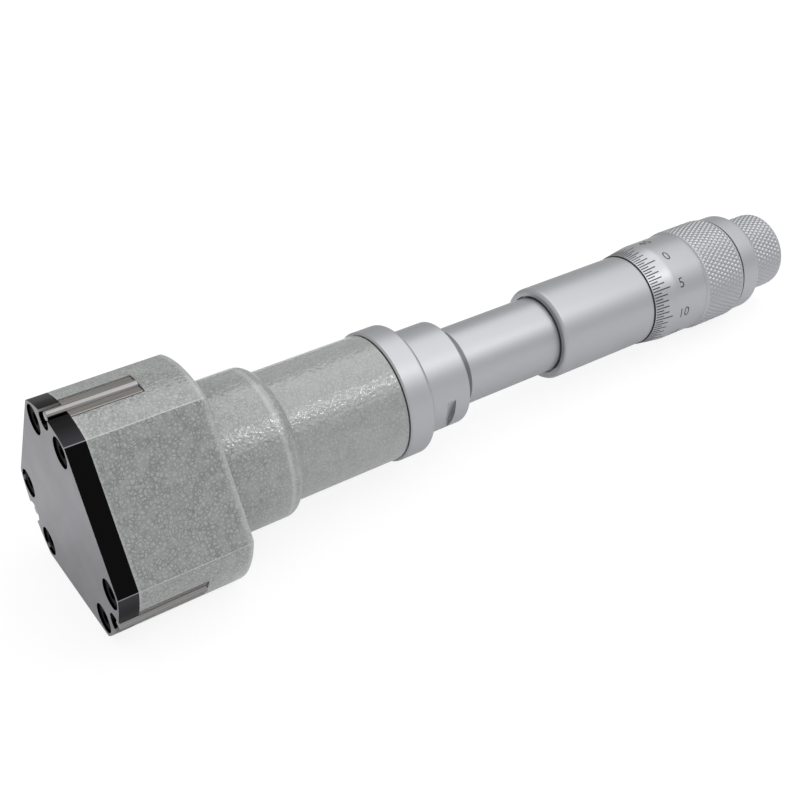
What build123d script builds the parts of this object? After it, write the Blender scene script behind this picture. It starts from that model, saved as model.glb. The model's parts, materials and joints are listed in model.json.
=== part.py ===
"""Three-point internal micrometer, 50 to 63 mm.

The instrument lies along X. The origin is the centre of the cover plate's front
face, +X runs from the head to the ratchet knob, and +Z points through the upper
corner of the head. The second and third corners follow at 120 degree steps about
+X. All sizes are in millimetres, at the smallest measuring diameter.
"""

from math import atan, cos, sqrt
import os

from build123d import *

# measuring range
closed_diameter = 50.0
opened_diameter = 63.0
cone_slope = 0.5  # radial rise for each millimetre along the axis

# head outline, shared by the plate and the housing; its size follows the measuring diameter
contact_radius = closed_diameter / 2
corner_setback = 0.5  # the corners stand this far inside the contacts at rest
flat_depth = 5.0  # from a corner's radius to a flat
corner_radius = contact_radius - corner_setback
flat_distance = corner_radius - flat_depth
corner_count = 3
edge_rounding = 0.5

# cover plate and its screws
plate_thickness = 4.2
plate_slot_width = 4.5
plate_slot_depth = 3.2
plate_slot_inner = corner_radius - plate_slot_depth
screw_setback = 3.7
screw_circle = corner_radius - screw_setback
screw_angle = 18.05  # to each side of a corner's direction
screw_head_radius = 2.75
screw_head_height = 2.8
screw_shank_radius = 1.5
screw_shank_depth = 8.0
hex_sides = 6
screw_hex_across = 2.5
screw_hex_depth = 1.6
counterbore_radius = 3.2
plate_under_head = 1.0

# guide tube
tube_radius = 9.19
tube_wall = 2.19
tube_bore_radius = tube_radius - tube_wall

# housing
slot_width = 6.4
slot_length = 14.5
slot_end = plate_thickness + slot_length
shoulder_end = 28.7
stem_wall = 5.3
stem_radius = tube_radius + stem_wall
neck_share = 0.441  # how far the neck stands out from the stem towards the flats
neck_radius = stem_radius + neck_share * (flat_distance - stem_radius)
shoulder_share = 0.36  # of the step from the neck to the flats
shoulder_rounding = shoulder_share * (flat_distance - neck_radius)
neck_end = 42.6
stem_start = 45.0
stem_length = 27.08
stem_end = stem_start + stem_length
stem_chamfer = 0.3
cove_radius = 0.5
pocket_length = 7.5
pocket_end = slot_end + pocket_length
pocket_cover = 2.6  # wall left outside the springs
pocket_roof = corner_radius - pocket_cover
tube_seat_setback = 5.0  # the tube's socket begins this far inside the stem
cone_bore_end = stem_start + tube_seat_setback

# anvils and their contact pins
anvil_inner = 2.4
anvil_setback = 0.75  # from the contact to the anvil's outer face
anvil_outer = contact_radius - anvil_setback
foot_outer = 11.0
anvil_chamfer = 0.35
pin_radius = 1.0
pin_front = 0.4
pin_chamfer = 0.15

# guide tube's place, rings and sleeve
tube_length = 100.0
tube_end = cone_bore_end + tube_length
collar_step = 0.57
collar_radius = stem_radius + collar_step
collar_width = 6.56
collar_end = stem_end + collar_width
collar_chamfer = 0.35
collar_rounding = 1.0
nut_wall = 2.91
nut_radius = tube_radius + nut_wall
nut_width = 11.52
nut_end = collar_end + nut_width
nut_rounding = 0.5
nut_flat_setback = 5.06
nut_flat_start = collar_end + nut_flat_setback
nut_flat_width = 2.3
nut_flat_depth = 1.02
nut_flat_distance = nut_radius - nut_flat_depth
nut_flat_angle = 110.0
grip_length = 28.55
sleeve_start = nut_end + grip_length
sleeve_wall = 2.03
sleeve_radius = tube_radius + sleeve_wall
sleeve_overhang = 6.0
sleeve_end = tube_end + sleeve_overhang
sleeve_mouth_gap = 0.36
sleeve_mouth_radius = tube_radius + sleeve_mouth_gap
sleeve_mouth_depth = 1.2
sleeve_rounding = 1.0

# cone, rod and ball
cone_tip_radius = 2.0
cone_tip_reach = 1.0
cone_tip_x = slot_end - cone_tip_reach
cone_guide_radius = 11.0
cone_end_gap = 2.5
cone_end = cone_bore_end - cone_end_gap
cone_chamfer = 0.4
rod_radius = 3.0
rod_thread_length = 9.0
rod_end_gap = 30.0
rod_end = tube_end - rod_end_gap
keyway_width = 1.6
keyway_depth = 1.0
key_distance = 16.0
key_x = cone_bore_end + key_distance
key_depth_in_tube = 0.3
ball_radius = 2.0
bush_length = 10.0
front_bush_setback = 0.5
front_bush_x = cone_bore_end + front_bush_setback
rear_bush_setback = 26.0
rear_bush_x = rod_end - rear_bush_setback

# spindle, its nut and the adjusting ring
spindle_radius = 4.0
spindle_nose_radius = 3.0
spindle_nose_length = 2.0
spindle_nut_length = 22.0
spindle_nut_start = tube_end - spindle_nut_length
nut_boss_radius = 5.6
nut_boss_length = 6.0
nut_slit_width = 0.8
adjuster_setback = 0.79
adjuster_radius = tube_radius - adjuster_setback
adjuster_length = 4.8

# thimble
bare_sleeve = 28.45  # the sleeve's length in front of the thimble
thimble_front = sleeve_start + bare_sleeve
thimble_edge = 0.22
thimble_edge_radius = sleeve_radius + thimble_edge
graduation_length = 6.44
graduation_end = thimble_front + graduation_length
thimble_wall = 1.16
thimble_radius = sleeve_radius + thimble_wall
number_length = 10.1
number_end = graduation_end + number_length
thimble_groove_width = 0.5
knurl_start = number_end + thimble_groove_width
knurl_step = 0.48
knurl_radius = thimble_radius + knurl_step
knurl_length = 12.2
thimble_end = knurl_start + knurl_length
thimble_groove_depth = 0.18
thimble_groove_radius = thimble_radius - thimble_groove_depth
knurl_chamfer = 0.3
taper_length = 6.9
taper_start = thimble_end - taper_length
taper_small_radius = 5.0
taper_large_radius = 5.5

# clamping cap, ratchet and knob
cap_gap = 0.6
cap_front = thimble_end + cap_gap
cap_width = 5.7
cap_end = cap_front + cap_width
cap_step = 0.03
cap_radius = thimble_radius - cap_step
cap_groove_depth = 0.75
cap_hub_radius = cap_radius - cap_groove_depth
cap_rounding = 0.9
cap_chamfer = 0.2
cap_recess_radius = 8.2
cap_floor_thickness = 1.6
cap_floor = cap_front + cap_floor_thickness
stub_radius = 3.5
stub_setback = 1.2
stub_end = cap_end - stub_setback
disc_radius = 7.9
disc_thickness = 2.5
disc_rear = cap_end
tooth_height = 0.5
tooth_rim = 0.6
tooth_width = 2.5
tooth_groove_width = 2.4
tooth_count = 12
tooth_gap = 0.06
knob_radius = 9.69
knob_gap = 0.15
knob_front = cap_end + knob_gap
knob_length = 11.55
knob_end = knob_front + knob_length
knob_chamfer = 0.5
knob_front_chamfer = 0.3
knob_recess_radius = 3.9
knob_recess_depth = 2.6
ratchet_shoulder_radius = 2.5
ratchet_thread_radius = 1.5
ratchet_thread_length = 9.0
ratchet_head_radius = 3.6
ratchet_head_height = 2.0
ratchet_slot_width = 0.9
ratchet_slot_depth = 0.8

# springs, their wire six-sided to keep its faces few
spring_wire = 0.5
wire_sides = 6
return_spring_radius = 1.7
return_spring_turns = 6
ratchet_spring_radius = 6.0
ratchet_spring_wire = 0.35
ratchet_spring_turns = 2

# clearances
running_clearance = 0.03
slide_clearance = 0.04
seat_clearance = 0.02
thimble_clearance = 0.05

# how far cuts run past a face, and how near an edge is to a size that picks it
overshoot = 1.0
pick_tolerance = 0.01

# worked out from the sizes above
corner_step = 360.0 / corner_count
anvil_travel = (opened_diameter - closed_diameter) / 2
cone_travel = anvil_travel / cone_slope
pin_centre = contact_radius - pin_radius
cone_full_x = cone_tip_x + (cone_guide_radius - cone_tip_radius) / cone_slope
cone_bore_radius = cone_guide_radius + running_clearance
spindle_start = rod_end + ball_radius + seat_clearance
spindle_bore_radius = spindle_radius + running_clearance
spring_length = pocket_roof - foot_outer - 2 * seat_clearance
foot_end = pocket_end - slide_clearance


def turned(*points):
    """A solid turned about the X axis from (x, radius) points."""
    outline = make_face(Polyline(*points, close=True))
    return revolve(Plane.XZ * outline, Axis.X)


def rod(radius, start, end):
    return Plane((start, 0, 0), x_dir=(0, 1, 0), z_dir=(1, 0, 0)) * Cylinder(
        radius, end - start, align=(Align.CENTER, Align.CENTER, Align.MIN)
    )


def tube(radius, bore, start, end):
    return rod(radius, start, end) - rod(bore, start, end)


def block(x_range, y_range, z_range):
    return Pos(*[sum(r) / 2 for r in (x_range, y_range, z_range)]) * Box(
        *[r[1] - r[0] for r in (x_range, y_range, z_range)]
    )


def rings_at(solid, x, radius):
    """The circular edges of a turned piece at one place."""
    return [
        e
        for e in solid.edges().filter_by(GeomType.CIRCLE)
        if abs(e.arc_center.X - x) < pick_tolerance and abs(e.radius - radius) < pick_tolerance
    ]


def turn_to(angle, piece):
    return Rot(angle, 0, 0) * piece


def each_corner():
    return [k * corner_step for k in range(corner_count)]


def save(name, shape):
    solids = shape.solids()
    whole = solids[0] if len(solids) == 1 else Compound(children=list(solids))
    export_step(whole, f"parts/{name}.step")


def head_outline():
    """The three-cornered front outline: a circle cut by three flats."""
    outline = Circle(corner_radius)
    reach = 2 * corner_radius
    for angle in each_corner():
        cutter = Pos(-flat_distance - reach / 2, 0) * Rectangle(reach, 2 * reach)
        outline -= Rot(0, 0, angle) * cutter
    return outline


def head_prism(start, end):
    """The head outline along X, its first corner towards +Z."""
    sketch = Plane((start, 0, 0), x_dir=(0, 0, 1), z_dir=(1, 0, 0)) * head_outline()
    return extrude(sketch, end - start)


def off_axis(edge):
    return Vector(0, edge.center().Y, edge.center().Z).length


def long_edges(solid, length):
    return [
        e
        for e in solid.edges().filter_by(Axis.X)
        if abs(e.length - length) < pick_tolerance and off_axis(e) > flat_distance
    ]


def at_screws(piece):
    return [
        turn_to(corner + side * screw_angle, Pos(0, 0, screw_circle) * piece)
        for corner in each_corner()
        for side in (-1, 1)
    ]


def make_cover_plate():
    plate = head_prism(0, plate_thickness)
    plate = fillet(long_edges(plate, plate_thickness), edge_rounding)
    half = plate_slot_width / 2
    for angle in each_corner():
        slot = block(
            (-overshoot, plate_thickness + overshoot),
            (-half, half),
            (plate_slot_inner + half, corner_radius + overshoot),
        )
        slot_round = rod(half, -overshoot, plate_thickness + overshoot)
        slot += Pos(0, 0, plate_slot_inner + half) * slot_round
        plate -= turn_to(angle, slot)
    bore = rod(screw_shank_radius + 2 * slide_clearance, 0, plate_thickness)
    counterbore = rod(counterbore_radius, 0, plate_thickness - plate_under_head)
    for hole in at_screws(bore + counterbore):
        plate -= hole
    return plate


def make_cover_screws():
    head_rear = plate_thickness - plate_under_head
    head_front = head_rear - screw_head_height
    screw = rod(screw_head_radius, head_front, head_rear)
    screw += rod(screw_shank_radius, head_rear, head_rear + screw_shank_depth)
    across = screw_hex_across / sqrt(3)
    hex_plane = Plane((head_front, 0, 0), x_dir=(0, 1, 0), z_dir=(1, 0, 0))
    screw -= extrude(hex_plane * RegularPolygon(across, hex_sides), screw_hex_depth)
    return Compound(children=at_screws(screw))


def make_head_housing():
    """One casting: the cornered body with its rounded rim, the neck and the stem."""
    body = head_prism(plate_thickness, shoulder_end)
    body = fillet(long_edges(body, shoulder_end - plate_thickness), edge_rounding)
    rim = [e for e in body.edges() if abs(e.center().X - shoulder_end) < pick_tolerance]
    body = fillet(rim, shoulder_rounding)

    neck = Polyline(
        (stem_start, stem_radius),
        (stem_start, 0),
        (plate_thickness, 0),
        (plate_thickness, neck_radius),
        (neck_end, neck_radius),
    )
    neck += TangentArc((neck_end, neck_radius), (stem_start, stem_radius), tangent=(1, 0))
    stem = rod(stem_radius, plate_thickness, stem_end)
    stem = chamfer(rings_at(stem, stem_end, stem_radius), stem_chamfer)
    body += revolve(Plane.XZ * make_face(neck), Axis.X) + stem
    coves = rings_at(body, shoulder_end, neck_radius) + rings_at(body, stem_start, stem_radius)
    body = fillet(coves, cove_radius)

    # bores for the cone and the guide tube
    body -= rod(cone_bore_radius, plate_thickness, cone_bore_end)
    body -= rod(tube_radius, cone_bore_end, stem_end)
    half = slot_width / 2
    for angle in each_corner():
        slot = block((plate_thickness, slot_end), (-half, half), (0, corner_radius + overshoot))
        pocket = block((slot_end - overshoot, pocket_end), (-half, half), (0, pocket_roof))
        body -= turn_to(angle, slot + pocket)
    hole_end = plate_thickness - plate_under_head + screw_shank_depth + overshoot
    for hole in at_screws(rod(screw_shank_radius, plate_thickness, hole_end)):
        body -= hole
    return body


def make_anvil():
    """An anvil with its slanted inner face, its foot and the groove for the pin."""
    front = plate_thickness + slide_clearance
    rear = slot_end - slide_clearance
    gap = running_clearance / cos(atan(cone_slope))
    slant_start = cone_tip_x + (anvil_inner - gap - cone_tip_radius) / cone_slope
    slant_end_radius = cone_tip_radius + (foot_end - cone_tip_x) * cone_slope + gap
    side = Polyline(
        (front, anvil_inner),
        (slant_start, anvil_inner),
        (foot_end, slant_end_radius),
        (foot_end, foot_outer),
        (rear, foot_outer),
        (rear, anvil_outer),
        (front, anvil_outer),
        close=True,
    )
    width = slot_width - 2 * slide_clearance
    anvil = extrude(Plane.XZ * make_face(side), width / 2, both=True)
    # the slanted face is hollow, to ride on the cone
    cone_reach = cone_travel + foot_end + overshoot
    hollow = turned(
        (slant_start - overshoot, 0),
        (slant_start - overshoot, anvil_inner - overshoot * cone_slope),
        (cone_reach, anvil_inner + (cone_reach - slant_start) * cone_slope),
        (cone_reach, 0),
    )
    anvil -= hollow & block((0, foot_end + overshoot), (-width, width), (0, foot_outer - overshoot))
    top = [
        e
        for e in anvil.edges().filter_by(Axis.X)
        if e.center().Z > anvil_outer - pick_tolerance
    ]
    anvil = chamfer(top, anvil_chamfer)
    return anvil - Pos(0, 0, pin_centre) * rod(pin_radius, 0, rear)


def make_contact_pin():
    pin = rod(pin_radius, pin_front, slot_end - slide_clearance)
    pin = chamfer(rings_at(pin, pin_front, pin_radius), pin_chamfer)
    return Pos(0, 0, pin_centre) * pin


def make_coil(radius, wire, turns, length):
    """A coil spring along Z from 0 to length, its wire's ends inside."""
    rise = length - wire
    path = Helix(rise / turns, rise, radius)
    across = Plane(origin=path.position_at(0), z_dir=path.tangent_at(0))
    section = across * RegularPolygon(wire / 2, wire_sides)
    return Pos(0, 0, wire / 2) * sweep(section, path, is_frenet=True)


def make_return_spring():
    coil = make_coil(return_spring_radius, spring_wire, return_spring_turns, spring_length)
    return Pos((slot_end + foot_end) / 2, 0, foot_outer + seat_clearance) * coil


def make_measuring_cone():
    cone = turned(
        (cone_tip_x, 0),
        (cone_tip_x, cone_tip_radius),
        (cone_full_x, cone_guide_radius),
        (cone_end, cone_guide_radius),
        (cone_end, 0),
    )
    cone = chamfer(rings_at(cone, cone_end, cone_guide_radius), cone_chamfer)
    return cone - rod(rod_radius, cone_end - rod_thread_length, cone_end)


def make_push_rod():
    start = cone_end - rod_thread_length
    piece = rod(rod_radius, start, rod_end)
    piece -= rod(ball_radius + seat_clearance, rod_end - ball_radius, rod_end)
    half = keyway_width / 2
    keyway = block(
        (key_x - half - slide_clearance, key_x + cone_travel + half + slide_clearance),
        (-half, half),
        (rod_radius - keyway_depth, rod_radius + overshoot),
    )
    return piece - keyway


def make_rod_key():
    """A pin through the tube's wall, its foot in the rod's keyway."""
    foot_radius = keyway_width / 2 - slide_clearance
    foot_z = rod_radius - keyway_depth + slide_clearance
    pin = Pos(key_x, 0, foot_z) * Cylinder(
        foot_radius,
        tube_radius - key_depth_in_tube - foot_z,
        align=(Align.CENTER, Align.CENTER, Align.MIN),
    )
    return pin


def make_guide_tube():
    piece = tube(tube_radius, tube_bore_radius, cone_bore_end, tube_end)
    hole = Pos(key_x, 0, 0) * Cylinder(
        keyway_width / 2 - slide_clearance,
        tube_radius + overshoot,
        align=(Align.CENTER, Align.CENTER, Align.MIN),
    )
    return piece - hole


def make_bush(start):
    return tube(tube_bore_radius, rod_radius + running_clearance, start, start + bush_length)


def make_collar_ring():
    ring = tube(collar_radius, tube_radius, stem_end, collar_end)
    ring = chamfer(rings_at(ring, stem_end, collar_radius), collar_chamfer)
    return fillet(rings_at(ring, collar_end, collar_radius), collar_rounding)


def make_lock_nut():
    nut = tube(nut_radius, tube_radius, collar_end, nut_end)
    nut = fillet(rings_at(nut, nut_end, nut_radius), nut_rounding)
    for side in (0, 180):
        flat = block(
            (nut_flat_start, nut_flat_start + nut_flat_width),
            (-nut_radius, nut_radius),
            (nut_flat_distance, nut_radius + overshoot),
        )
        nut -= turn_to(nut_flat_angle + side, flat)
    return nut


def make_scale_sleeve():
    sleeve = tube(sleeve_radius, tube_radius, sleeve_start, sleeve_end)
    sleeve = fillet(rings_at(sleeve, sleeve_start, sleeve_radius), sleeve_rounding)
    return sleeve - rod(sleeve_mouth_radius, sleeve_start, sleeve_start + sleeve_mouth_depth)


def make_spindle_nut():
    nut = rod(tube_bore_radius, spindle_nut_start, tube_end)
    nut += rod(nut_boss_radius, tube_end, tube_end + nut_boss_length)
    nut -= rod(spindle_bore_radius, spindle_nut_start, tube_end + nut_boss_length)
    slit_start = tube_end - nut_boss_length
    half = nut_slit_width / 2
    for angle in each_corner():
        slit = block(
            (slit_start, tube_end + nut_boss_length),
            (-half, half),
            (0, tube_bore_radius + overshoot),
        )
        nut -= turn_to(angle, slit)
    return nut


def make_adjusting_nut():
    start = tube_end + (nut_boss_length - adjuster_length) / 2
    ring = tube(adjuster_radius, nut_boss_radius, start, start + adjuster_length)
    return ring


def make_spindle():
    nose_end = spindle_start + spindle_nose_length
    piece = turned(
        (spindle_start, 0),
        (spindle_start, spindle_nose_radius),
        (nose_end, spindle_nose_radius),
        (nose_end + spindle_radius - spindle_nose_radius, spindle_radius),
        (taper_start, spindle_radius),
        (taper_start, taper_small_radius),
        (thimble_end, taper_large_radius),
        (thimble_end, stub_radius),
        (stub_end, stub_radius),
        (stub_end, ratchet_thread_radius),
        (stub_end - ratchet_thread_length, ratchet_thread_radius),
        (stub_end - ratchet_thread_length, 0),
    )
    return piece


def make_thimble():
    bore = sleeve_radius + thimble_clearance
    piece = turned(
        (thimble_front, bore),
        (thimble_front, thimble_edge_radius),
        (graduation_end, thimble_radius),
        (number_end, thimble_radius),
        ((number_end + knurl_start) / 2, thimble_groove_radius),
        (knurl_start, knurl_radius - knurl_chamfer),
        (knurl_start + knurl_chamfer, knurl_radius),
        (thimble_end - knurl_chamfer, knurl_radius),
        (thimble_end, knurl_radius - knurl_chamfer),
        (thimble_end, taper_large_radius),
        (taper_start, taper_small_radius),
        (taper_start, bore),
    )
    return piece


def make_thimble_cap():
    cap = turned(
        (thimble_end, stub_radius),
        (thimble_end, cap_hub_radius),
        (cap_front, cap_hub_radius),
        (cap_front, cap_radius),
        (cap_end, cap_radius),
        (cap_end, cap_recess_radius),
        (cap_floor, cap_recess_radius),
        (cap_floor, stub_radius),
    )
    cap = fillet(rings_at(cap, cap_end, cap_radius), cap_rounding)
    return chamfer(rings_at(cap, cap_front, cap_radius), cap_chamfer)


def cut_teeth(piece, crown, depth):
    """Ratchet teeth in a ring's face: radial grooves with one steep side."""
    half = tooth_groove_width / 2
    away = 1 if depth > 0 else -1
    groove_outline = Polyline(
        (crown + away, -half), (crown, -half), (crown - depth, half), (crown + away, half), close=True
    )
    groove = extrude(Plane.XY * make_face(groove_outline), disc_radius + overshoot)
    for k in range(tooth_count):
        piece -= turn_to(k * 360.0 / tooth_count, groove)
    return piece


def make_ratchet_disc():
    rim_start = disc_rear - tooth_rim
    disc = tube(disc_radius, stub_radius, disc_rear - disc_thickness, rim_start)
    disc += tube(disc_radius, disc_radius - tooth_width, rim_start, disc_rear)
    return cut_teeth(disc, disc_rear, tooth_height)


def make_ratchet_spring():
    space = disc_rear - disc_thickness - cap_floor - 2 * seat_clearance
    coil = make_coil(ratchet_spring_radius, ratchet_spring_wire, ratchet_spring_turns, space)
    return Pos(cap_floor + seat_clearance, 0, 0) * (Rot(0, 90, 0) * coil)


def make_ratchet_knob():
    knob = rod(knob_radius, knob_front, knob_end)
    knob = chamfer(rings_at(knob, knob_end, knob_radius), knob_chamfer)
    knob = chamfer(rings_at(knob, knob_front, knob_radius), knob_front_chamfer)
    knob -= rod(ratchet_shoulder_radius + running_clearance, knob_front, knob_end)
    knob -= rod(knob_recess_radius, knob_end - knob_recess_depth, knob_end)
    crown = disc_rear + tooth_gap
    knob -= tube(cap_recess_radius, ratchet_shoulder_radius, knob_front, crown + tooth_rim)
    knob += tube(disc_radius, disc_radius - tooth_width, crown, crown + tooth_rim)
    return cut_teeth(knob, crown, -tooth_height)


def make_ratchet_screw():
    head_front = knob_end - knob_recess_depth + slide_clearance
    piece = turned(
        (stub_end - ratchet_thread_length, 0),
        (stub_end - ratchet_thread_length, ratchet_thread_radius),
        (stub_end, ratchet_thread_radius),
        (stub_end, ratchet_shoulder_radius),
        (head_front, ratchet_shoulder_radius),
        (head_front, ratchet_head_radius),
        (head_front + ratchet_head_height, ratchet_head_radius),
        (head_front + ratchet_head_height, 0),
    )
    head_rear = head_front + ratchet_head_height
    slot = block(
        (head_rear - ratchet_slot_depth, head_rear + overshoot),
        (-ratchet_head_radius, ratchet_head_radius),
        (-ratchet_slot_width / 2, ratchet_slot_width / 2),
    )
    return piece - slot


def main():
    os.makedirs("parts", exist_ok=True)
    save("head_housing", make_head_housing())
    save("cover_plate", make_cover_plate())
    save("cover_screws", make_cover_screws())
    anvil = make_anvil()
    pin = make_contact_pin()
    spring = make_return_spring()
    for number, angle in enumerate(each_corner(), start=1):
        save(f"measuring_anvil_{number}", turn_to(angle, anvil))
        save(f"contact_pin_{number}", turn_to(angle, pin))
        save(f"return_spring_{number}", turn_to(angle, spring))
    save("measuring_cone", make_measuring_cone())
    save("push_rod", make_push_rod())
    save("rod_key", make_rod_key())
    save("rod_bush_front", make_bush(front_bush_x))
    save("rod_bush_rear", make_bush(rear_bush_x))
    save("thrust_ball", Pos(rod_end, 0, 0) * Sphere(ball_radius))
    save("guide_tube", make_guide_tube())
    save("collar_ring", make_collar_ring())
    save("lock_nut", make_lock_nut())
    save("scale_sleeve", make_scale_sleeve())
    save("spindle_nut", make_spindle_nut())
    save("adjusting_nut", make_adjusting_nut())
    save("spindle", make_spindle())
    save("thimble", make_thimble())
    save("thimble_cap", make_thimble_cap())
    save("ratchet_disc", make_ratchet_disc())
    save("ratchet_spring", make_ratchet_spring())
    save("ratchet_knob", make_ratchet_knob())
    save("ratchet_screw", make_ratchet_screw())


main()
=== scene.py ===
# Looks of the three-point inside micrometer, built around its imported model.
import json
import math

import bmesh
import bpy
from mathutils import Matrix, Vector


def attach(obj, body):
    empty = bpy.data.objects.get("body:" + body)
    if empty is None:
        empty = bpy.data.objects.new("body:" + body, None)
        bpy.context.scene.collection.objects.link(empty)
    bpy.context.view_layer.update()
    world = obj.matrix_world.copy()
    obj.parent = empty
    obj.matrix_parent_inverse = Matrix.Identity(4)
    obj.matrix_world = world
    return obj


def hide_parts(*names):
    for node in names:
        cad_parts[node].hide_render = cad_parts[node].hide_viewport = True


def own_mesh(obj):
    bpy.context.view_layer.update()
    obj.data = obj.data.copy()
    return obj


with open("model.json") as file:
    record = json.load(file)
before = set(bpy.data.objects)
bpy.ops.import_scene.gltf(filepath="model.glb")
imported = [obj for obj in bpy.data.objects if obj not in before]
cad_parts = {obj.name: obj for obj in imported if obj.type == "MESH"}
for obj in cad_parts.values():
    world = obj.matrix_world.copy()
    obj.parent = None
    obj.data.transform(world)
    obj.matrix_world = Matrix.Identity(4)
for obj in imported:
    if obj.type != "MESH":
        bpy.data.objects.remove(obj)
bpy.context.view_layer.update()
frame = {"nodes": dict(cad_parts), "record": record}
mm = 0.001
print("frame loaded")


# nodes

srgb = {"knee": 0.04045, "slope": 12.92, "offset": 0.055, "power": 2.4}
mixSockets = {"first": 6, "second": 7, "result": 2}   # the colour sockets of a Mix node, by number


def hexColour(code):
    # the linear colour that the shaders take, from an sRGB hex code
    channels = []
    for start in (0, 2, 4):
        v = int(code[start:start + 2], 16) / 255
        if v <= srgb["knee"]:
            channels.append(v / srgb["slope"])
        else:
            channels.append(((v + srgb["offset"]) / (1 + srgb["offset"])) ** srgb["power"])
    return (*channels, 1.0)


def grey(v):
    return (v, v, v, 1.0)


def feed(tree, socket, value):
    # a plain value is set on the socket, and a (node, output) pair is linked to it
    if isinstance(value, tuple) and isinstance(value[0], bpy.types.Node):
        node, output = value
        tree.links.new(node.outputs[output], socket)
    else:
        socket.default_value = value


def addNode(tree, kind, settings=None, inputs=None):
    # a node with its settings; inputs maps a socket's name or number to what feeds it
    node = tree.nodes.new(kind)
    for key, value in (settings or {}).items():
        setattr(node, key, value)
    for key, value in (inputs or {}).items():
        feed(tree, node.inputs[key], value)
    return node


def mathNode(tree, operation, *values):
    return addNode(tree, "ShaderNodeMath", {"operation": operation}, dict(enumerate(values))), "Value"


def mixColours(tree, share, first, second):
    mix = addNode(tree, "ShaderNodeMix", {"data_type": "RGBA"},
                  {"Factor": share, mixSockets["first"]: first, mixSockets["second"]: second})
    return mix, mixSockets["result"]


def mapRange(tree, value, low, high, toLow=0.0, toHigh=1.0):
    return addNode(tree, "ShaderNodeMapRange", inputs={
        "Value": value, "From Min": low, "From Max": high, "To Min": toLow, "To Max": toHigh,
    }), "Result"


def colourRamp(tree, source, stops):
    ramp = addNode(tree, "ShaderNodeValToRGB", inputs={"Fac": source})
    elements = ramp.color_ramp.elements
    while len(elements) < len(stops):
        elements.new(0.5)
    for element, (place, colour) in zip(elements, stops):
        element.position = place
        element.color = colour
    return ramp, "Color"


def greyRamp(tree, source, stops):
    return colourRamp(tree, source, [(place, grey(v)) for place, v in stops])


def hexRamp(tree, source, stops):
    return colourRamp(tree, source, [(place, hexColour(code)) for place, code in stops])


def noiseNode(tree, spot, size, detail):
    return addNode(tree, "ShaderNodeTexNoise", inputs={"Vector": spot, "Scale": 1 / size, "Detail": detail})


def separate(tree, vector):
    return addNode(tree, "ShaderNodeSeparateXYZ", inputs={"Vector": vector})


def coordinates(tree):
    # a point's place on the object and the way its surface faces
    node = addNode(tree, "ShaderNodeTexCoord")
    return (node, "Object"), (node, "Normal")


def fromAxis(tree, spot):
    # a point's distance from the X axis
    across = addNode(tree, "ShaderNodeVectorMath", {"operation": "MULTIPLY"}, {0: spot, 1: (0.0, 1.0, 1.0)})
    return addNode(tree, "ShaderNodeVectorMath", {"operation": "LENGTH"}, {0: (across, "Vector")}), "Value"


# materials

def newMaterial(name):
    material = bpy.data.materials.new(name)
    material.use_nodes = True
    tree = material.node_tree
    tree.nodes.clear()
    output = tree.nodes.new("ShaderNodeOutputMaterial")
    shader = tree.nodes.new("ShaderNodeBsdfPrincipled")
    tree.links.new(shader.outputs["BSDF"], output.inputs["Surface"])
    return material, tree, shader


def setShader(tree, shader, inputs):
    for key, value in inputs.items():
        feed(tree, shader.inputs[key], value)


head = {
    "corners": 3,
    "edgeRadius": 23.9 * mm,   # a side beyond this distance from the axis is a corner's arc or its edge
}


def cornerTurn(tree, facing):
    # 1 where a side faces straight out of a corner of the head, 0 where it faces out of a flat
    parts = separate(tree, facing)
    turn = mathNode(tree, "ARCTAN2", (parts, "Y"), (parts, "Z"))
    wave = mathNode(tree, "COSINE", mathNode(tree, "MULTIPLY", turn, head["corners"]))
    return mapRange(tree, wave, -1.0, 1.0)


def atCorner(tree, spot):
    # 1 on the arcs of the corners and on their edges, 0 on the flats and in the holes
    return mathNode(tree, "GREATER_THAN", fromAxis(tree, spot), head["edgeRadius"])


hammer = {
    "base": "898d8b",
    "vein": "575b58",
    # the paler colour, a painted highlight on the long edges and round the rims
    "edge": "a8acaa",
    "cellSize": 0.85 * mm,     # spacing of the net of veins that the paint draws into
    "net": [(0.0, 1.0), (0.07, 0.75), (0.20, 0.0)],      # distance from a vein's middle, its strength
    "wander": 0.5 * mm,        # how far a vein strays from a straight line
    "wanderSize": 0.7 * mm,
    "wormSize": 0.75 * mm,     # spacing of the short wiggles between the veins
    "worms": [(0.42, 0.0), (0.49, 0.9), (0.56, 0.0)],    # the noise's value, a wiggle's strength
    "patchSize": 2.2 * mm,     # veins fade in and out over patches of this size
    "patches": [(0.36, 0.55), (0.60, 1.0)],              # the noise's value, the veins' share
    "headEnd": 28.7 * mm,      # from here the veins get weaker along the neck
    "stemStart": 46.0 * mm,
    "stemShare": 0.6,          # what is left of them on the stem, where less paint gathers
    # turn from a flat, 0, to a corner, 1, and the share there of the paler colour, a painted highlight along
    # the long edges
    "longEdges": [(0.06, 0.0), (0.16, 0.75), (0.56, 0.75), (0.68, 0.0)],
    # mm along the head, share of the paler colour, a painted highlight round the rims
    "rims": [(4.2, 0.5), (4.9, 0.0), (26.9, 0.0), (27.7, 0.55), (28.5, 0.55), (29.0, 0.0),
             (41.2, 0.0), (41.8, 0.55), (42.3, 0.55), (42.7, 0.0)],
    "domeHeight": 0.006 * mm,
    "domeSoftness": 0.4,
    "domes": [(0.0, 1.0), (0.75, 0.0)],                  # distance from a dome's middle, its height
    "waveHeight": 0.13 * mm,
    "waveSize": 0.8 * mm,
    "roughness": 0.38,
    "coatRoughness": 0.05,
    "coatIor": 1.8,
}


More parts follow.
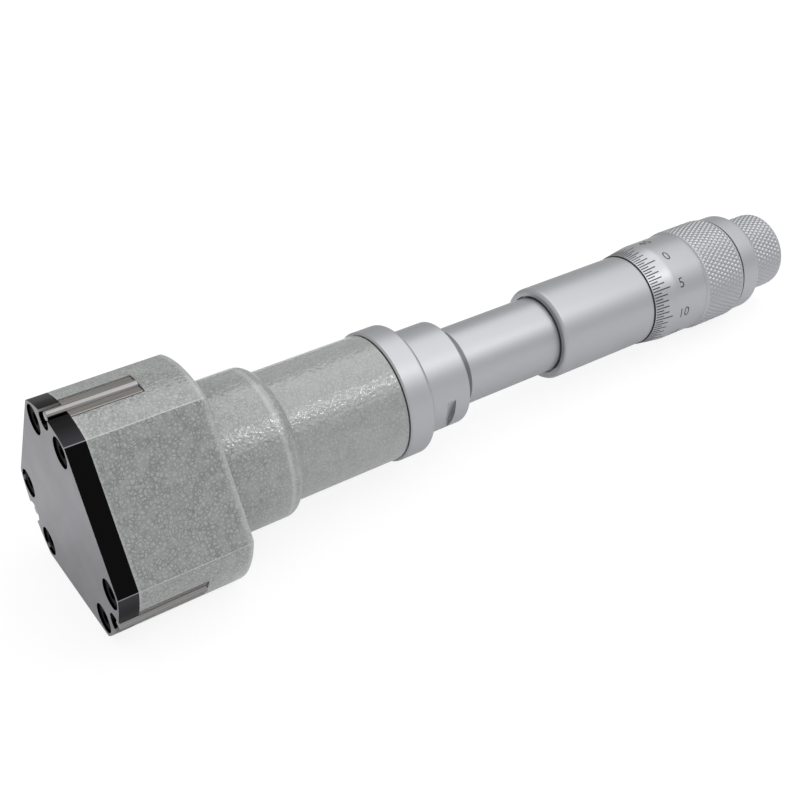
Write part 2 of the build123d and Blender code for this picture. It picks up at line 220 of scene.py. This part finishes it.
def paintVeins(tree, spot, strayed):
    # how dark the veins are at a point, before they fade under the painted highlights on the edges
    edges = addNode(tree, "ShaderNodeTexVoronoi", {"feature": "DISTANCE_TO_EDGE"},
                    {"Vector": strayed, "Scale": 1 / hammer["cellSize"]})
    net = greyRamp(tree, (edges, "Distance"), hammer["net"])
    worms = noiseNode(tree, spot, hammer["wormSize"], 2.0)
    wiggles = greyRamp(tree, (worms, "Fac"), hammer["worms"])
    patches = noiseNode(tree, spot, hammer["patchSize"], 3.0)
    share = greyRamp(tree, (patches, "Fac"), hammer["patches"])
    patchy = mathNode(tree, "MULTIPLY", mathNode(tree, "MAXIMUM", net, wiggles), share)
    gathered = mapRange(tree, (separate(tree, spot), "X"),
                        hammer["headEnd"], hammer["stemStart"], 1.0, hammer["stemShare"])
    return mathNode(tree, "MULTIPLY", patchy, gathered)


def paintEdges(tree, spot, facing):
    # how much painted highlight a point gets, on the long edges of the corners and round the rims
    longEdgeSheen = greyRamp(tree, cornerTurn(tree, facing), hammer["longEdges"])
    longEdges = mathNode(tree, "MULTIPLY", longEdgeSheen, atCorner(tree, spot))
    first, last = hammer["rims"][0][0], hammer["rims"][-1][0]
    along = mapRange(tree, (separate(tree, spot), "X"), first * mm, last * mm)
    rims = greyRamp(tree, along, [((x - first) / (last - first), v) for x, v in hammer["rims"]])
    return mathNode(tree, "MAXIMUM", longEdges, rims)


def paintRelief(tree, spot, strayed):
    # small domes between the veins, and slow waves in the skin over them
    domes = addNode(tree, "ShaderNodeTexVoronoi", {"feature": "SMOOTH_F1"}, {
        "Vector": strayed,
        "Scale": 1 / hammer["cellSize"],
        "Smoothness": hammer["domeSoftness"],
    })
    height = greyRamp(tree, (domes, "Distance"), hammer["domes"])
    small = addNode(tree, "ShaderNodeBump",
                    inputs={"Strength": 1.0, "Distance": hammer["domeHeight"], "Height": height})
    waves = noiseNode(tree, spot, hammer["waveSize"], 1.0)
    return addNode(tree, "ShaderNodeBump", inputs={
        "Strength": 1.0,
        "Distance": hammer["waveHeight"],
        "Height": (waves, "Fac"),
        "Normal": (small, "Normal"),
    }), "Normal"


def makeHammerPaint():
    # hammer-finish enamel sprayed on a casting: the aluminium pigment draws into dark veins round
    # small domes, under a glossy skin with slow waves, so highlights break into glints; a paler colour
    # paints highlights over the rims and the edges of the corners, and its veins are weaker on the stem
    material, tree, shader = newMaterial("hammerFinishEnamel")
    spot, facing = coordinates(tree)
    wander = noiseNode(tree, spot, hammer["wanderSize"], 1.0)
    strayed = addNode(tree, "ShaderNodeVectorMath", {"operation": "MULTIPLY_ADD"},
                      {0: (wander, "Color"), 1: (hammer["wander"],) * 3, 2: spot}), "Vector"
    edge = paintEdges(tree, spot, facing)
    ground = mixColours(tree, edge, hexColour(hammer["base"]), hexColour(hammer["edge"]))
    plain = mathNode(tree, "SUBTRACT", 1.0, edge)
    shown = mathNode(tree, "MULTIPLY", paintVeins(tree, spot, strayed), plain)
    relief = paintRelief(tree, spot, strayed)
    setShader(tree, shader, {
        "Base Color": mixColours(tree, shown, ground, hexColour(hammer["vein"])),
        "Normal": relief,
        "Coat Normal": relief,
        "Roughness": hammer["roughness"],
        "Coat Weight": 1.0,
        "Coat Roughness": hammer["coatRoughness"],
        "Coat IOR": hammer["coatIor"],
    })
    return material


plateLook = {
    "smudgeSize": 7.0 * mm,
    "smudges": [(0.35, "747176"), (0.65, "7e7c82")],     # the noise's value, the ground face's colour
    "faceRoughness": 0.30,
    "frontTurn": -0.9,         # X of a normal that still counts as the ground face
    "frontDepth": 0.2 * mm,
    "flat": "020202",
    # turn from a flat, 0, to a corner, 1, and the colour there: flat, painted highlight on the edge, arc with
    # painted reflection, its middle
    "paintedSideSheen": [(0.04, "020202"), (0.20, "8a8a8e"), (0.50, "8a8a8e"), (0.64, "3c3c41"), (0.92, "0c0c0d")],
    "sideRoughness": 0.16,
    "specular": 0.06,
}


def makePlateSteel():
    # blackened steel with its front face ground bare: deep black on its flats, greyer on the arcs at the
    # corners as a painted reflection, with a painted highlight on the edges between them, and satin grey in
    # front
    material, tree, shader = newMaterial("blackenedSteelGroundFace")
    spot, facing = coordinates(tree)
    front = mathNode(tree, "LESS_THAN", (separate(tree, facing), "X"), plateLook["frontTurn"])
    outer = mathNode(tree, "LESS_THAN", (separate(tree, spot), "X"), plateLook["frontDepth"])
    face = mathNode(tree, "MULTIPLY", front, outer)
    smudge = noiseNode(tree, spot, plateLook["smudgeSize"], 4.0)
    bare = hexRamp(tree, (smudge, "Fac"), plateLook["smudges"])
    side = hexRamp(tree, cornerTurn(tree, facing), plateLook["paintedSideSheen"])
    black = mixColours(tree, atCorner(tree, spot), hexColour(plateLook["flat"]), side)
    roughness = [(0.0, plateLook["sideRoughness"]), (1.0, plateLook["faceRoughness"])]
    setShader(tree, shader, {
        "Base Color": mixColours(tree, face, black, bare),
        "Roughness": greyRamp(tree, face, roughness),
        "Metallic": face,
        "Specular IOR Level": plateLook["specular"],
    })
    return material


oxideLook = {
    "grainSize": 0.4 * mm,
    "paintedGlintTones": [(0.55, "020202"), (0.75, "2a1e19")],       # the noise's value, the colour
    "roughness": 0.5,
    "specular": 0.03,
}


def makeBlackOxide():
    # black oxide on small steel screws: nearly no light comes back from their sunk heads; brown flecks in the
    # colour are painted glints
    material, tree, shader = newMaterial("blackOxideScrews")
    spot = coordinates(tree)[0]
    noise = noiseNode(tree, spot, oxideLook["grainSize"], 3.0)
    setShader(tree, shader, {
        "Base Color": hexRamp(tree, (noise, "Fac"), oxideLook["paintedGlintTones"]),
        "Roughness": oxideLook["roughness"],
        "Specular IOR Level": oxideLook["specular"],
    })
    return material


# chrome plate over finely blasted steel: pale, soft and even
satinLook = {"colour": "abacaf", "roughness": 0.40, "grain": 0.03, "grainSize": 0.12 * mm,
             "bumpHeight": 0.0012 * mm}
# hardened steel ground along X: warm grey, with fine long streaks
groundLook = {"colour": "8d8a87", "roughness": 0.34, "grain": 0.05, "grainSize": 0.35 * mm,
              "bumpHeight": 0.002 * mm, "stretch": 30.0, "spread": 0.2}
# sintered carbide lapped to a near mirror: dark and sharp
carbideLook = {"colour": "8b8988", "roughness": 0.11, "grain": 0.02, "grainSize": 0.3 * mm, "stretch": 12.0}
# wire as it leaves the die: clean and half bright
wireLook = {"colour": "8d8e90", "roughness": 0.30, "grain": 0.03, "grainSize": 0.25 * mm}
# bronze turned to a bearing fit: yellow brown, half bright
bronzeLook = {"colour": "b08850", "roughness": 0.30, "grain": 0.04, "grainSize": 0.25 * mm}
# satin chrome darkened as painted shade, for the tube just behind the lock nut
shadeRingLook = {"colour": "6d6d70", "roughness": 0.45, "grain": 0.03, "grainSize": 0.12 * mm}
grainRange = (0.25, 0.75)   # the noise's values between which the grain clouds the roughness
tintRange = (0.35, 0.65)    # and those between which it changes the colour


def makeMetal(name, look):
    # bare metal: grain clouds the roughness, stretch draws it out along X as grinding does,
    # and spread lets the colour follow it
    material, tree, shader = newMaterial(name)
    size = look["grainSize"]
    mapping = addNode(tree, "ShaderNodeMapping", inputs={
        "Vector": coordinates(tree)[0],
        "Scale": (1 / (size * look.get("stretch", 1.0)), 1 / size, 1 / size),
    })
    noise = noiseNode(tree, (mapping, "Vector"), 1.0, 3.0)
    clouds = (noise, "Fac")
    full = hexColour(look["colour"])
    rough = [look["roughness"] - look["grain"], look["roughness"] + look["grain"]]
    setShader(tree, shader, {
        "Base Color": full,
        "Metallic": 1.0,
        "Roughness": greyRamp(tree, clouds, list(zip(grainRange, rough))),
    })
    if "spread" in look:
        low = [v * (1 - look["spread"]) for v in full[:3]] + [1.0]
        tint = colourRamp(tree, clouds, list(zip(tintRange, (low, full))))
        feed(tree, shader.inputs["Base Color"], tint)
    if "bumpHeight" in look:
        bump = addNode(tree, "ShaderNodeBump",
                       inputs={"Strength": 1.0, "Distance": look["bumpHeight"], "Height": clouds})
        feed(tree, shader.inputs["Normal"], (bump, "Normal"))
    return material


inkAndShadowLook = {"colour": "24201c", "roughness": 0.6}


def makeInk():
    # black filling of the etched lines and numbers: dull enamel; the same black paints the shadow lines at
    # the joints and slots
    material, tree, shader = newMaterial("etchedInkAndPaintedShadow")
    setShader(tree, shader, {"Base Color": hexColour(inkAndShadowLook["colour"]), "Roughness": inkAndShadowLook["roughness"]})
    return material


finishes = {
    "hammer_paint": makeHammerPaint(),
    "blackened_steel": makePlateSteel(),
    "black_screws": makeBlackOxide(),
    "satin_chrome": makeMetal("satinChromePlate", satinLook),
    "ground_steel": makeMetal("groundToolSteel", groundLook),
    "hard_metal": makeMetal("lappedTungstenCarbide", carbideLook),
    "spring_steel": makeMetal("drawnSpringSteel", wireLook),
    "bronze": makeMetal("turnedBronze", bronzeLook),
}
inkAndShadow = makeInk()

for row in frame["record"]["subparts"]:
    materials = frame["nodes"][row["node"]].data.materials
    materials.clear()
    materials.append(finishes[row["material_slot"]])
print("materials assigned")


# pieces

def addObject(name, data):
    made = bpy.data.objects.new(name, data)
    bpy.context.scene.collection.objects.link(made)
    return made


def meshPiece(name, mesh):
    data = bpy.data.meshes.new(name)
    mesh.to_mesh(data)
    mesh.free()
    return addObject(name, data)


def dress(piece, material, body, slot, *replaced):
    piece.data.materials.append(material)
    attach(piece, body)
    if replaced:
        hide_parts(*replaced)


lathe = {
    "sharpTurn": 25.0,      # a turn of the outline by more degrees than this is a sharp edge
    "ringSegments": 256,
}


def latheMesh(name, profile, segments, radiusAt=None):
    # a piece turned about the X axis from a closed outline of (x, radius) points in millimetres
    mesh = bmesh.new()
    rings = []
    for row, (x, r) in enumerate(profile):
        ring = []
        for k in range(segments):
            angle = 2 * math.pi * k / segments
            reach = radiusAt(row, x, r, k) if radiusAt else r
            ring.append(mesh.verts.new((x * mm, -reach * mm * math.sin(angle), reach * mm * math.cos(angle))))
        rings.append(ring)
    total = len(profile)
    for i in range(total):
        a, b = rings[i], rings[(i + 1) % total]
        for k in range(segments):
            n = (k + 1) % segments
            mesh.faces.new((a[k], b[k], b[n], a[n]))
    for face in mesh.faces:
        face.smooth = True
    for i in range(total):
        before = Vector(profile[i]) - Vector(profile[i - 1])
        after = Vector(profile[(i + 1) % total]) - Vector(profile[i])
        if math.degrees(before.angle(after, 0.0)) > lathe["sharpTurn"]:
            for k in range(segments):
                edge = mesh.edges.get((rings[i][k], rings[i][(k + 1) % segments]))
                edge.smooth = False
    mesh.normal_update()
    bmesh.ops.recalc_face_normals(mesh, faces=mesh.faces)
    return meshPiece(name, mesh)


def makeRing(name, start, end, top, depth):
    low = top - depth
    return latheMesh(name, [(start, low), (start, top), (end, top), (end, low)], lathe["ringSegments"])


def cornerAngle(corner):
    return 2 * math.pi * corner / head["corners"]


def makeReturnCoils():
    # copies of the return springs, in place of the imported ones; on the tool they shorten as the anvils come
    # out
    for corner in range(head["corners"]):
        number = corner + 1
        data = frame["nodes"][f"return_spring_{number}"].data.copy()
        data.materials.clear()
        piece = addObject(f"returnCoil{number}", data)
        dress(piece, finishes["spring_steel"], "root", "spring_steel", f"return_spring_{number}")
        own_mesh(piece)


knurl = {
    "pitch": 1.03,      # mm across the grooves
    "angle": 30.0,      # of the grooves to the axis
    "depth": 0.22,
    "grooveShare": 0.40,
    "endDrop": 0.75,    # how much of the depth the band's ends are turned down
    "fade": 0.35,       # mm over which the grooves run out there
    "steps": 12,        # mesh steps in one repeat, so that the creases fall on the mesh
    "shadeReach": 0.5,  # how far up the sides of a groove the painted shade reaches
    # the colour in the grooves, painted shade
    "groove": "949598",
    "chrome": "abacaf",
    "roughness": 0.36,
}


def makeKnurlChrome(name, band):
    # satin chrome over a rolled knurl, with painted shade in its grooves: the crests of its diamonds stay
    # pale, while the grooves between them are painted darker
    start, end, radius = band
    material, tree, shader = newMaterial(name)
    spot = coordinates(tree)[0]
    floor = radius - knurl["depth"]
    crest = floor + knurl["depth"] * knurl["shadeReach"]
    outOfShade = mapRange(tree, fromAxis(tree, spot), floor * mm, crest * mm)
    middle = (start + end) / 2 * mm
    half = ((end - start) / 2 - knurl["fade"]) * mm
    inBand = mathNode(tree, "COMPARE", (separate(tree, spot), "X"), middle, half)
    share = mathNode(tree, "MAXIMUM", outOfShade, mathNode(tree, "SUBTRACT", 1.0, inBand))
    setShader(tree, shader, {
        "Base Color": mixColours(tree, share, hexColour(knurl["groove"]), hexColour(knurl["chrome"])),
        "Metallic": 1.0,
        "Roughness": knurl["roughness"],
    })
    return material


def knurlStarts(radius):
    around = 2 * math.pi * radius * math.cos(math.radians(knurl["angle"]))
    return round(around / knurl["pitch"])


def knurlRise(x, turns, starts, repeat):
    # share of the knurl's height at a place, 0 in a groove and 1 on a diamond's top
    along = x / repeat
    nearest = 0.5
    for u in (turns * starts + along, turns * starts - along):
        nearest = min(nearest, abs(u - round(u)))
    return min(1.0, nearest / knurl["grooveShare"])


def knurledPiece(name, front, band, rear):
    # a turned piece with one knurled band; front and rear are its plain outlines
    start, end, radius = band
    starts = knurlStarts(radius)
    segments = starts * knurl["steps"]
    repeat = knurl["pitch"] / math.sin(math.radians(knurl["angle"]))
    rows = round((end - start) / (repeat / knurl["steps"]))
    profile = list(front)
    first = len(profile)
    for i in range(rows + 1):
        profile.append((start + (end - start) * i / rows, radius))
    last = len(profile) - 1
    profile += rear

    def radiusAt(row, x, r, k):
        if row < first or row > last:
            return r
        plain = r - knurl["depth"] * knurl["endDrop"]
        if row in (first, last):
            return plain
        fade = min(1.0, (x - start) / knurl["fade"], (end - x) / knurl["fade"])
        low = r - knurl["depth"]
        rise = knurlRise((row - first) * repeat / knurl["steps"], k / segments, starts, repeat)
        return fade * (low + knurl["depth"] * rise) + (1 - fade) * plain

    return latheMesh(name, profile, segments, radiusAt)


thimbleShape = {
    "front": 147.16, "edgeRadius": 11.46, "bore": 11.27, "mouth": 11.43, "mouthDepth": 0.9,
    "coneEnd": 153.6, "radius": 12.38, "numberEnd": 163.65,
    "bendHalf": 0.4, "bendDrop": 0.06,        # the bend between the cone and the barrel
    "bendEdge": 0.5, "bendEdgeDrop": 0.076,   # the outline's next points on either side of it
    # the small step behind the numbers: mm along from their end, and under the barrel
    "step": [(-0.22, 0.0), (-0.12, 0.0), (0.0, 0.05), (0.12, 0.02)],
    "knurlStart": 164.2, "knurlEnd": 176.35, "knurlRadius": 12.86,
    "end": 176.5, "endChamfer": 0.3, "web": 169.5, "webSmall": 5.0, "webLarge": 5.5,
}


def makeThimble():
    t = thimbleShape
    front = [
        (t["web"], t["webSmall"]),
        (t["web"], t["bore"]),
        (t["front"] + t["mouthDepth"], t["bore"]),
        (t["front"], t["mouth"]),
        (t["front"], t["edgeRadius"]),
        (t["coneEnd"] - t["bendEdge"], t["radius"] - t["bendEdgeDrop"]),
        (t["coneEnd"] - t["bendHalf"], t["radius"] - t["bendDrop"]),
        (t["coneEnd"] + t["bendHalf"], t["radius"]),
        (t["coneEnd"] + t["bendEdge"], t["radius"]),
        *[(t["numberEnd"] + x, t["radius"] - drop) for x, drop in t["step"]],
    ]
    rear = [
        (t["end"], t["knurlRadius"] - t["endChamfer"]),
        (t["end"], t["webLarge"]),
    ]
    band = (t["knurlStart"], t["knurlEnd"], t["knurlRadius"])
    piece = knurledPiece("knurledThimble", front, band, rear)
    dress(piece, makeKnurlChrome("knurledSatinChrome", band), "thimble", "satin_chrome", "thimble")


knobShape = {
    "front": 182.85, "end": 194.4, "radius": 9.69, "bore": 2.53, "faceRecess": 8.2, "recessFloor": 183.36,
    "headRecess": 3.9, "headFloor": 191.8,
    "faceChamfer": 0.3,
    "bandSetbacks": (0.2, 0.25),              # mm from each end of the knob to its knurl
    "endRound": [(-0.02, 0.45), (0.0, 0.55)],   # mm along from the end, and under the radius
}


def makeKnob():
    s = knobShape
    front = [
        (s["headFloor"], s["headRecess"]),
        (s["headFloor"], s["bore"]),
        (s["recessFloor"], s["bore"]),
        (s["recessFloor"], s["faceRecess"]),
        (s["front"], s["faceRecess"]),
        (s["front"], s["radius"] - s["faceChamfer"]),
    ]
    rear = [
        *[(s["end"] + x, s["radius"] - drop) for x, drop in s["endRound"]],
        (s["end"], s["headRecess"]),
    ]
    before, behind = s["bandSetbacks"]
    band = (s["front"] + before, s["end"] - behind, s["radius"])
    piece = knurledPiece("knurledKnob", front, band, rear)
    dress(piece, makeKnurlChrome("knurledKnobChrome", band), "ratchet", "satin_chrome", "ratchet_knob")


seams = {
    # dark rings at the joints; at the thimble's mouth and before its cap they are painted shadow
    "headSeam": {"x": 72.08, "width": 0.40, "top": 14.35, "depth": 0.2, "body": "root"},
    "mouthGapShadow": {"x": 147.08, "width": 0.34, "top": 11.41, "depth": 0.15, "body": "thimble"},
    "ringSeam": {"x": 78.64, "width": 0.10, "top": 12.125, "depth": 0.1, "body": "root"},
    "capGrooveShadow": {"x": 176.755, "width": 0.49, "top": 12.45, "depth": 0.6, "body": "thimble"},
}


def makeSeams():
    # a dark ring where two turned pieces meet: painted shadow in the gaps at the thimble's mouth and before
    # its cap, a plain dark line at the other joints
    for name, s in seams.items():
        piece = makeRing(name, s["x"] - s["width"] / 2, s["x"] + s["width"] / 2, s["top"], s["depth"])
        dress(piece, inkAndShadow, s["body"], "satin_chrome")


# the ring of painted shade behind the lock nut, in mm
relief = {"start": 90.16, "end": 92.75, "radius": 9.2, "depth": 0.1}


def makeGroove():
    # a thin ring of darker chrome on the tube behind the lock nut: painted shade, standing for the shade by
    # the nut
    piece = makeRing("paintedShadeRing", relief["start"], relief["end"], relief["radius"], relief["depth"])
    dress(piece, makeMetal("paintedShadeChrome", shadeRingLook), "root", "satin_chrome")


slotShadow = {"start": 4.2, "end": 18.7, "half": 3.2, "width": 0.2, "radius": 24.5, "lift": 0.01, "steps": 8}


def onHead(x, across, corner):
    # a point just over the arc of one of the head's corners
    out = math.sqrt((slotShadow["radius"] + slotShadow["lift"]) ** 2 - across ** 2)
    turn = cornerAngle(corner)
    y = -out * math.sin(turn) - across * math.cos(turn)
    z = out * math.cos(turn) - across * math.sin(turn)
    return (x * mm, y * mm, z * mm)


def makeSlotLines():
    # a dark line of painted shadow along the edges of each anvil's slot
    s = slotShadow
    outer = s["half"] + s["width"]
    mesh = bmesh.new()
    for corner in range(head["corners"]):
        for side in (-1, 1):
            places = [(s["start"], s["half"]), (s["end"], s["half"]), (s["end"], outer), (s["start"], outer)]
            mesh.faces.new([mesh.verts.new(onHead(x, side * w, corner)) for x, w in places])
        for i in range(s["steps"]):
            a = -outer + 2 * outer * i / s["steps"]
            b = -outer + 2 * outer * (i + 1) / s["steps"]
            places = [(s["end"], a), (s["end"] + s["width"], a), (s["end"] + s["width"], b), (s["end"], b)]
            mesh.faces.new([mesh.verts.new(onHead(x, w, corner)) for x, w in places])
    bmesh.ops.recalc_face_normals(mesh, faces=mesh.faces)
    dress(meshPiece("slotShadowLines", mesh), inkAndShadow, "root", "hammer_paint")


makeReturnCoils()
makeThimble()
makeKnob()
makeSeams()
makeGroove()
makeSlotLines()
print("knurled pieces and seams made")


# graduations and numbers

scale = {
    "divisions": 50,
    "zeroAngle": 20.2,          # of the 0 line about +X from the upper corner, at rest
    "start": 147.35,
    "halfEnd": 149.55, "wholeEnd": 151.1, "numberedEnd": 152.25,
    "lineWidth": 0.27,
    "numberEvery": 5,
    "numberHeight": 2.5, "numberCentre": 155.95,
    "digitShare": 0.69,         # height of a digit as a share of its font's size
    "thinning": 0.008,          # how far its strokes are drawn in, as a share of its height
    "curveSteps": 4,
    "subdivisions": 2,          # so that a digit follows the round barrel
    "lift": 0.015,
}


def onThimble(x, degreesRound):
    # a point just over the thimble's cone or barrel
    t = thimbleShape
    bendStart, bendEnd = t["coneEnd"] - t["bendHalf"], t["coneEnd"] + t["bendHalf"]
    low = t["radius"] - t["bendDrop"]
    if x < bendStart:
        r = t["edgeRadius"] + (x - t["front"]) / (bendStart - t["front"]) * (low - t["edgeRadius"])
    elif x < bendEnd:
        r = low + t["bendDrop"] * (x - bendStart) / (bendEnd - bendStart)
    else:
        r = t["radius"]
    angle = math.radians(degreesRound)
    reach = (r + scale["lift"]) * mm
    return (x * mm, -reach * math.sin(angle), reach * math.cos(angle))


def makeScaleLines():
    # a line at each whole division, the longest where a number stands, and a short one at each half
    mesh = bmesh.new()
    count = scale["divisions"] * 2
    start = scale["start"]
    half = math.degrees(scale["lineWidth"] / 2 / thimbleShape["edgeRadius"])
    for k in range(count):
        angle = scale["zeroAngle"] + 360.0 * k / count
        end = scale["halfEnd"]
        if k % 2 == 0:
            end = scale["numberedEnd"] if (k // 2) % scale["numberEvery"] == 0 else scale["wholeEnd"]
        corners = [(start, angle - half), (end, angle - half), (end, angle + half), (start, angle + half)]
        mesh.faces.new([mesh.verts.new(onThimble(x, a)) for x, a in corners])
    bmesh.ops.recalc_face_normals(mesh, faces=mesh.faces)
    dress(meshPiece("thimbleScale", mesh), inkAndShadow, "thimble", "satin_chrome")


def numberMesh(text):
    # a number as a flat mesh, centred, its digits' height along Y in millimetres
    height = scale["numberHeight"]
    curve = bpy.data.curves.new("digits", "FONT")
    curve.body = text
    curve.align_x = "CENTER"
    curve.size = height / scale["digitShare"]
    curve.offset = -scale["thinning"] * height
    curve.resolution_u = scale["curveSteps"]
    holder = addObject("digits", curve)
    bpy.context.view_layer.update()
    data = bpy.data.meshes.new_from_object(holder.evaluated_get(bpy.context.evaluated_depsgraph_get()))
    bpy.data.objects.remove(holder)
    bpy.data.curves.remove(curve)
    mesh = bmesh.new()
    mesh.from_mesh(data)
    bpy.data.meshes.remove(data)
    bmesh.ops.triangulate(mesh, faces=mesh.faces)
    for cut in range(scale["subdivisions"]):
        bmesh.ops.subdivide_edges(mesh, edges=mesh.edges, cuts=1, use_grid_fill=True)
    return mesh


def makeNumbers():
    # the numbers, bent round the thimble's barrel
    whole = bmesh.new()
    for value in range(0, scale["divisions"], scale["numberEvery"]):
        mesh = numberMesh(str(value))
        angle = scale["zeroAngle"] + 360.0 * value / scale["divisions"]
        for vert in mesh.verts:
            x, y = vert.co.x, vert.co.y - scale["numberHeight"] / 2
            turn = math.degrees(y / thimbleShape["radius"])
            vert.co = Vector(onThimble(scale["numberCentre"] + x, angle - turn))
        data = bpy.data.meshes.new("one")
        mesh.to_mesh(data)
        mesh.free()
        whole.from_mesh(data)
        bpy.data.meshes.remove(data)
    dress(meshPiece("thimbleNumbers", whole), inkAndShadow, "thimble", "satin_chrome")


makeScaleLines()
makeNumbers()
print("scale made")


# floor, lights and camera

rest = {
    "headEdge": (27.8, -19.5),      # where the head's lower flat ends
    "knurlEdge": (176.2, -12.86),   # lowest line of the thimble
}
floorSize = 8.0   # metres


def floorPlane(name, drop):
    # a plane that the object rests on, drop millimetres lower so that they don't touch
    x, z = rest["headEdge"]
    slope = math.atan2(rest["knurlEdge"][1] - z, rest["knurlEdge"][0] - x)
    mesh = bmesh.new()
    bmesh.ops.create_grid(mesh, x_segments=1, y_segments=1, size=floorSize)
    floor = meshPiece(name, mesh)
    floor.matrix_world = Matrix.Translation((x * mm, 0, (z - drop) * mm)) @ Matrix.Rotation(-slope, 4, "Y")
    return floor


tableLook = {
    "drop": 0.04,
    "near": "dededf",
    "far": "a0a0a0",
    "glow": 0.2,
    "fade": (0.03, 0.20),     # metres behind the object between which it darkens
    "roughness": 0.9,
}
sweepLook = {"drop": 0.02, "colour": "6c6c6c", "glowColour": "ffffff", "glow": 0.86, "roughness": 0.9}


def makeTable():
    # the table that lights the object from below, out of the camera's sight
    table = floorPlane("table", tableLook["drop"])
    material, tree, shader = newMaterial("paleTable")
    behind = mapRange(tree, (separate(tree, coordinates(tree)[0]), "Y"), *tableLook["fade"])
    setShader(tree, shader, {
        "Base Color": hexRamp(tree, behind, [(0.0, tableLook["near"]), (1.0, tableLook["far"])]),
        "Emission Color": greyRamp(tree, behind, [(0.0, tableLook["glow"]), (1.0, 0.0)]),
        "Emission Strength": 1.0,
        "Roughness": tableLook["roughness"],
    })
    table.data.materials.append(material)
    table.visible_camera = False


def makeSweep():
    # the bright sweep that is seen, as a print's clean ground
    sweep = floorPlane("sweep", sweepLook["drop"])
    material, tree, shader = newMaterial("paleSweep")
    setShader(tree, shader, {
        "Base Color": hexColour(sweepLook["colour"]),
        "Emission Color": hexColour(sweepLook["glowColour"]),
        "Emission Strength": sweepLook["glow"],
        "Roughness": sweepLook["roughness"],
    })
    sweep.data.materials.append(material)
    sweep.visible_diffuse = False
    sweep.visible_glossy = False
    sweep.visible_shadow = False


view = {
    "place": (-52.04, -190.81, 154.20),
    "forward": (0.46905, 0.68088, -0.5625),
    "up": (0.32522, 0.45901, 0.8268),
    "lens": 55.98,
    "sensor": 36.0,
    "clipStart": 0.005,
}


def makeCamera():
    camera = addObject("camera", bpy.data.cameras.new("camera"))
    back = -Vector(view["forward"]).normalized()
    up = Vector(view["up"])
    right = up.cross(back).normalized()
    up = back.cross(right)
    turn = Matrix((right, up, back)).transposed().to_4x4()
    camera.matrix_world = Matrix.Translation(Vector(view["place"]) * mm) @ turn
    camera.data.lens = view["lens"]
    camera.data.sensor_width = view["sensor"]
    camera.data.clip_start = view["clipStart"]
    bpy.context.scene.camera = camera


# in metres and watts; a light's size is given along the object's X axis and across it
lights = {
    "topSoftbox": {"place": (0.48, 0.02, 0.8), "target": (0.40, 0.02, 0.0),
                   "size": (0.8, 1.25), "watts": 3.2},
    "frontSoftbox": {"place": (0.47, -0.48, 0.57), "target": (0.09, 0.0, 0.0),
                     "size": (0.5, 0.4), "watts": 0.5},
    "keyLamp": {"place": (0.414, -0.487, 0.706), "target": (0.05, 0.0, 0.0),
                "size": (0.17, 0.025), "watts": 0.14},
}


def makeLights():
    for name, settings in lights.items():
        data = bpy.data.lights.new(name, "AREA")
        data.shape = "RECTANGLE"
        data.size, data.size_y = settings["size"]
        data.energy = settings["watts"]
        place = Vector(settings["place"])
        away = (place - Vector(settings["target"])).normalized()
        across = away.cross(Vector((1.0, 0.0, 0.0))).normalized()
        turn = Matrix((across.cross(away), across, away)).transposed().to_4x4()
        light = addObject(name, data)
        light.matrix_world = Matrix.Translation(place) @ turn


studio = {
    "behind": [(0.40, 1.0), (0.85, 0.79)],   # how the light dims behind the object
    "beyond": [(0.56, 1.0), (0.70, 0.86)],   # and towards its ratchet end
    "seen": 1.15,                            # what the camera sees past the sweep, as bright as the sweep
    "strength": 0.87,
}


def makeWorld():
    world = bpy.data.worlds.new("studio")
    bpy.context.scene.world = world
    world.use_nodes = True
    tree = world.node_tree
    where = separate(tree, (addNode(tree, "ShaderNodeTexCoord"), "Generated"))
    both = addNode(tree, "ShaderNodeVectorMath", {"operation": "MULTIPLY"}, {
        0: greyRamp(tree, (where, "Y"), studio["behind"]),
        1: greyRamp(tree, (where, "X"), studio["beyond"]),
    })
    ray = addNode(tree, "ShaderNodeLightPath")
    shown = mixColours(tree, (ray, "Is Camera Ray"), (both, "Vector"), grey(studio["seen"]))
    background = tree.nodes["Background"]
    feed(tree, background.inputs["Color"], shown)
    feed(tree, background.inputs["Strength"], studio["strength"])


makeTable()
makeSweep()
makeCamera()
makeLights()
makeWorld()
bpy.context.scene.view_settings.view_transform = "Standard"
print("stage set")
